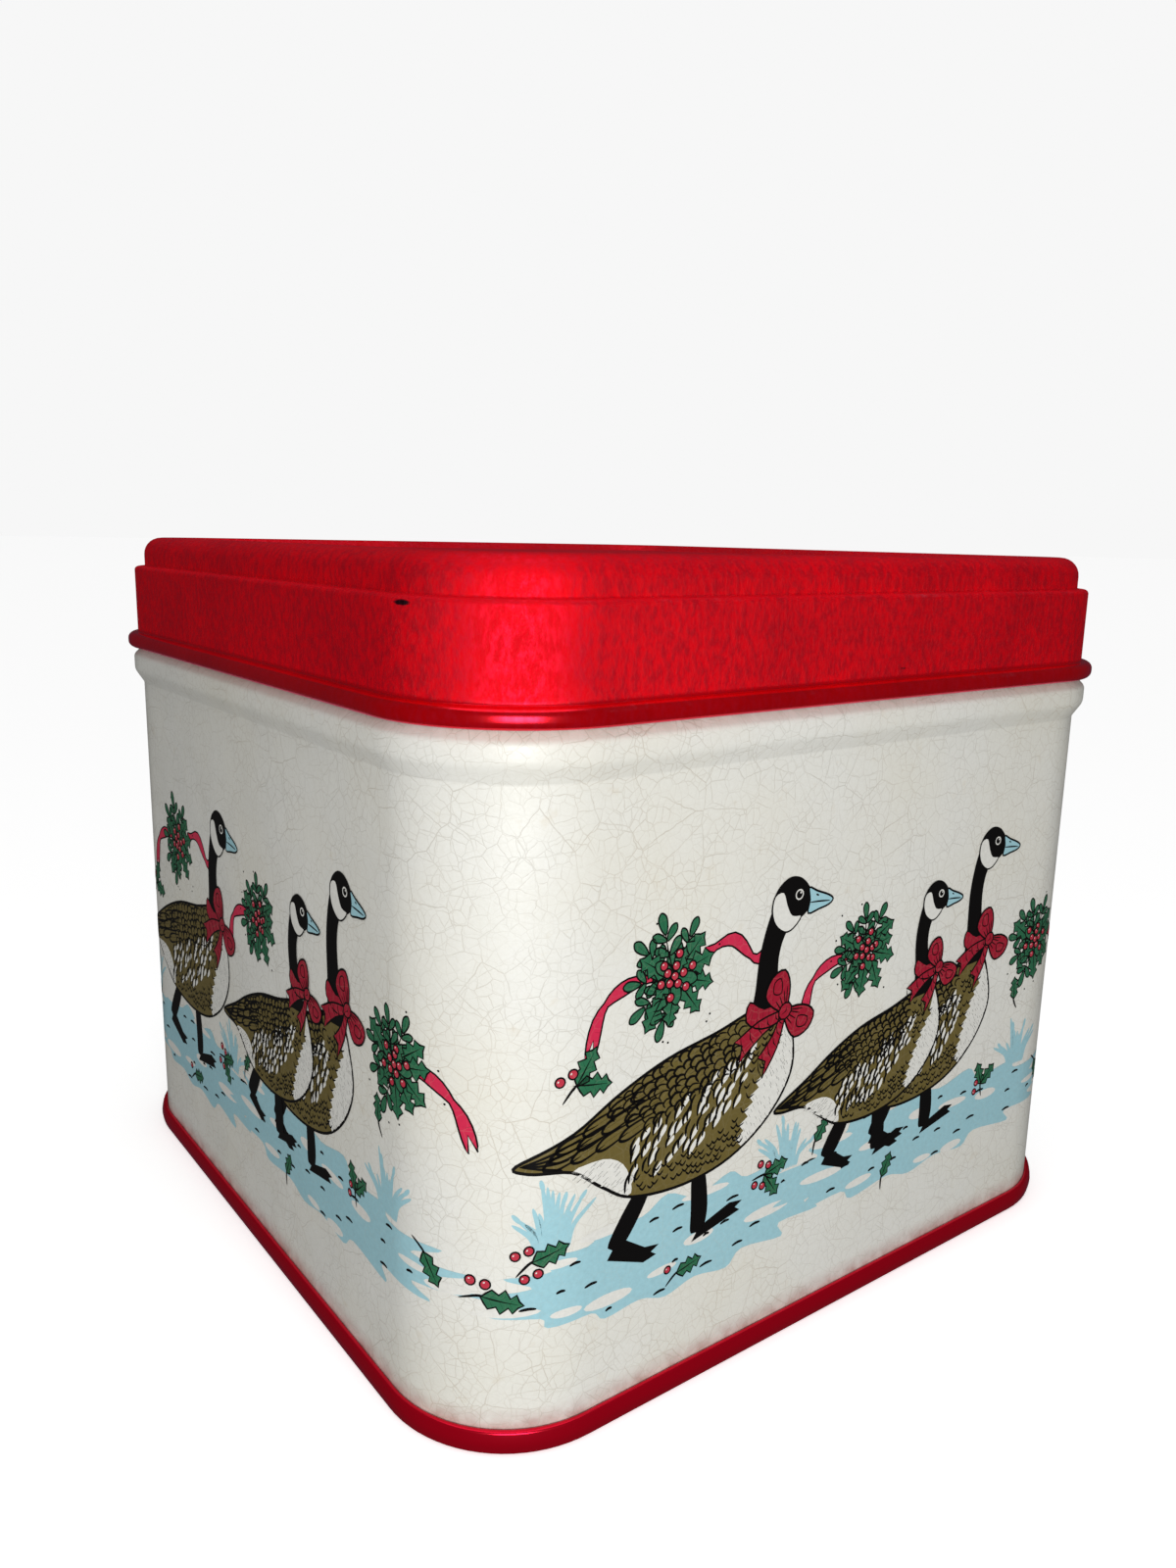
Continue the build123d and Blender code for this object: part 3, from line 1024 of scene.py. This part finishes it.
def ink(name):
    """A printed ink: the same crackle under its varnish, and a faint unevenness."""
    made, shader = material(f"ink_{name}")
    place = sheet_place(shader)
    uneven = level(noise(place, 0.9, detail=5, roughness=0.7), 0.3, 0.7, 0, 0.5)
    colour = srgb(*INKS[name])
    deeper = (*(0.72 * c for c in colour[:3]), 1.0)
    tone = mixed(uneven, colour, deeper)
    tone = mixed(times(crackle(place), 0.16), tone, srgb(196, 188, 166))
    feed(shader, Base_Color=tone, Roughness=varnish(place), Specular_IOR_Level=0.45)
    return made


def black_ink():
    """The black of the drawing, all one colour so that its fine lines stay sharp."""
    made, shader = material("ink_black")
    feed(shader, Base_Color=srgb(12, 10, 10), Roughness=0.42, Specular_IOR_Level=0.25)
    return made


CHIPS = (  # the places of chips in the lid's lacquer, and half their widths
    ((60.4, -75.5, STEP_HEIGHT - 0.8), 1.8),
    ((74.6, -52.0, STEP_HEIGHT), 1.0),
    ((-76.9, 31.0, STEP_HEIGHT), 1.6),
    ((-38.0, 78.6, HEM_FOOT + 2.8), 1.6),
    ((76.9, 8.0, HEM_FOOT + 5.0), 0.9),
)
CHIP_SHAPE = 0.24  # height of a chip over its width


def red_enamel():
    """Red lacquer over bright tinplate: a deep glow, a flake pattern that breaks highlights up, painted pink
    highlight patches, smooth rolls, wear, and a painted highlight along sharp bends.
    """
    made, shader = material("red_enamel")
    place = solid_place(shader)
    fine = noise(solid_place(shader, (1, 1, 2.2)), 0.9, detail=5, roughness=0.72)
    flakes_and_pink_sheen = noise(solid_place(shader, (1, 1, 2)), 1, detail=5, roughness=0.74)
    colour = mixed(level(fine, 0.35, 0.7, 0, 0.5), srgb(254, 0, 14), srgb(226, 0, 8))
    colour = mixed(level(noise(place, 16), 0.4, 0.7, 0, 0.25), colour, srgb(176, 0, 8))
    # Painted pink highlight: pinkish patches in the colour where the flake pattern lies.
    colour = mixed(level(flakes_and_pink_sheen, 0.44, 0.6, 0, 0.09), colour, srgb(240, 64, 104))
    # Scuffs, and a painted highlight line along sharp bends.
    colour = mixed(scuffs_and_edge_highlight(place), colour, srgb(230, 92, 112))
    colour = mixed(chips(shader), colour, srgb(40, 6, 6))
    height = coordinate(place, "Z")
    hem_top = HEM_FOOT + HEM_HEIGHT
    hem = level(height, hem_top, hem_top + 0.8, 1, 0)
    hem = times(hem, level(height, HEM_FOOT - 1, HEM_FOOT - 0.5, 0, 1))
    seam = level(height, SEAM_HEIGHT, SEAM_HEIGHT + 0.5, 1, 0)
    colour = mixed(seam, colour, srgb(226, 0, 34))
    rolled = most(hem, seam)
    worn = level(flakes_and_pink_sheen, 0.44, 0.6, 0.8, 0.54)
    polished = level(fine, 0.3, 0.7, 0.18, 0.22)
    sheen = node(rolled, "Mix", {"data_type": "FLOAT"}, i0=rolled, i2=worn, i3=polished).outputs[0]
    feed(shader, Base_Color=colour, Metallic=0.7, Roughness=sheen)
    feed(shader, Specular_IOR_Level=0.8, Specular_Tint=(1.0, 0.12, 0.62, 1.0))
    feed(shader, Normal=bump(fine, 0.03, level(rolled, 0, 1, 1, 0.04)))
    feed(shader, Coat_Weight=0.26, Coat_Roughness=0.3, Coat_IOR=1.4)
    feed(shader, Coat_Normal=bump(flakes_and_pink_sheen, 0.55, level(rolled, 0, 1, 1, 0.03)))
    return made


def scuffs_and_edge_highlight(place):
    """From 0 to 1, how far the lacquer is marked: a paler line along sharp bends that is partly wear and
    partly painted highlight, and scattered scuffs in patches.
    """
    bend = node(place, "NewGeometry").outputs["Pointiness"]
    # Along sharp bends: partly wear, partly painted highlight.
    edge = level(bend, 0.52, 0.62, 0, 0.5)
    broken = noise(place, 1.4, detail=6, roughness=0.75)
    edge = times(edge, level(broken, 0.5, 0.7, 0.1, 1))
    specks = noise(solid_place(place, (1, 1, 1.8)), 0.8, detail=6, roughness=0.8)
    specks = level(specks, 0.66, 0.75, 0, 0.7)
    patches = level(noise(place, 10), 0.52, 0.68, 0, 1)
    return most(times(edge, patches), times(specks, patches))


def chips(shader):
    """From 0 to 1, where the lacquer is chipped through, in a few short dashes on the lid."""
    place = solid_place(shader, (1, 1, CHIP_SHAPE))
    ragged = noise(place, 0.7, detail=4, output="Color")
    ragged = node(place, "VectorMath", {"operation": "SCALE"}, i0=ragged, Scale=1.2).outputs[0]
    near = vector("ADD", place, ragged)
    chipped = None
    for (x, y, z), size in CHIPS:
        away = vector("DISTANCE", near, (x, y, z / CHIP_SHAPE), "Value")
        here = level(away, size * 0.7, size, 1, 0)
        chipped = here if chipped is None else most(chipped, here)
    return chipped


def bare_tin():
    """Bare tinplate: silvery, with its rolling lines, a faint spangle and a few dull stains."""
    made, shader = material("bare_tin")
    place = solid_place(shader)
    rolled = noise(solid_place(shader, (14, 14, 0.5)), 1.0, detail=4, roughness=0.6)
    stains = level(noise(place, 12, detail=5, roughness=0.6), 0.55, 0.75, 0, 0.5)
    colour = mixed(stains, srgb(222, 222, 218), srgb(176, 166, 148))
    dull = level(rolled, 0.3, 0.7, 0.26, 0.44)
    feed(shader, Base_Color=colour, Metallic=0.85, Roughness=dull, Normal=bump(rolled, 0.006))
    return made


def pale_floor():
    """A plain pale floor that glows a little, so that it stays pale in the tin's shade."""
    made, shader = material("floor")
    feed(shader, Base_Color=srgb(245, 245, 245), Roughness=0.9)
    feed(shader, Emission_Color=(1, 1, 1, 1), Emission_Strength=0.48)
    return made


# ---- The scene around it
AMBIENT = 0.295  # strength of the surroundings as light
REFLECTED = 0.05  # in reflections
BACKDROP = 0.93  # and as the camera sees them


def lamp(light, place, target):
    """Places a light, in metres, and points it at a target."""
    made = in_scene(light.name, light)
    made.location = place
    made.rotation_euler = (Vector(target) - Vector(place)).to_track_quat("-Z", "Y").to_euler()


def studio():
    """A pale floor, dim pale surroundings, one soft key light beside the camera and soft light from above."""
    bpy.ops.mesh.primitive_plane_add(size=30)
    ground = bpy.context.object
    ground.name = "floor"
    ground.data.materials.append(pale_floor())
    ground.visible_diffuse = False
    ground.visible_glossy = False

    world = bpy.data.worlds.new("surroundings")
    world.use_nodes = True
    background = world.node_tree.nodes["Background"]
    ray = node(background, "LightPath").outputs
    dim = level(ray["Is Glossy Ray"], 0, 1, AMBIENT, REFLECTED)
    feed(background, Color=(1, 1, 1, 1), Strength=level(ray["Is Camera Ray"], 0, 1, dim, BACKDROP))
    bpy.context.scene.world = world

    key = bpy.data.lights.new("key", "AREA")
    key.size = 0.16
    key.energy = 0.94
    above = bpy.data.lights.new("above", "SUN")
    above.energy = 0.8
    above.angle = radians(50)
    lamp(key, (0.348, -0.221, 0.120), (0, 0, 0.120))
    lamp(above, (0, 0, 1), (0, 0, 0))


def camera():
    """A phone's wide view from just above the lid, at the corner between the walls at +X and -Y."""
    place = Vector((202.1, -151.4, 136.0)) * MM
    heading, tilt, roll = radians(-53.077), radians(11.859), radians(1.21)
    ahead = Vector((sin(heading) * cos(tilt), cos(heading) * cos(tilt), -sin(tilt)))
    flat = Vector((cos(heading), -sin(heading), 0))
    upright = flat.cross(ahead)
    right = flat * cos(roll) + upright * sin(roll)
    up = upright * cos(roll) - flat * sin(roll)
    lens = bpy.data.cameras.new("camera")
    lens.sensor_width = 36
    lens.lens = 27.1
    lens.clip_start = 0.01
    eye = in_scene("camera", lens)
    eye.matrix_world = Matrix.LocRotScale(place, Matrix((right, up, -ahead)).transposed(), None)
    bpy.context.scene.camera = eye


cream = cream_enamel()
red = red_enamel()
bare = bare_tin()
inks = [ink(name) for name in INKS]
black = black_ink()

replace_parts(tinplate(bare), "body_wall")
for side in range(4):
    enamel_face(side, cream)
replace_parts(base(red, bare), "base_pan")
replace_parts(lid(red, bare), "lid")
shapes = picture()
colours = flat_print(shapes, list(INKS))
lines = flat_print(shapes, ["ink"])
for side in range(4):
    wall_print(f"print_colours_{side + 1}", colours, side, inks)
    wall_print(f"print_lines_{side + 1}", lines, side, [black])
studio()
camera()
bpy.context.scene.view_settings.view_transform = "Standard"
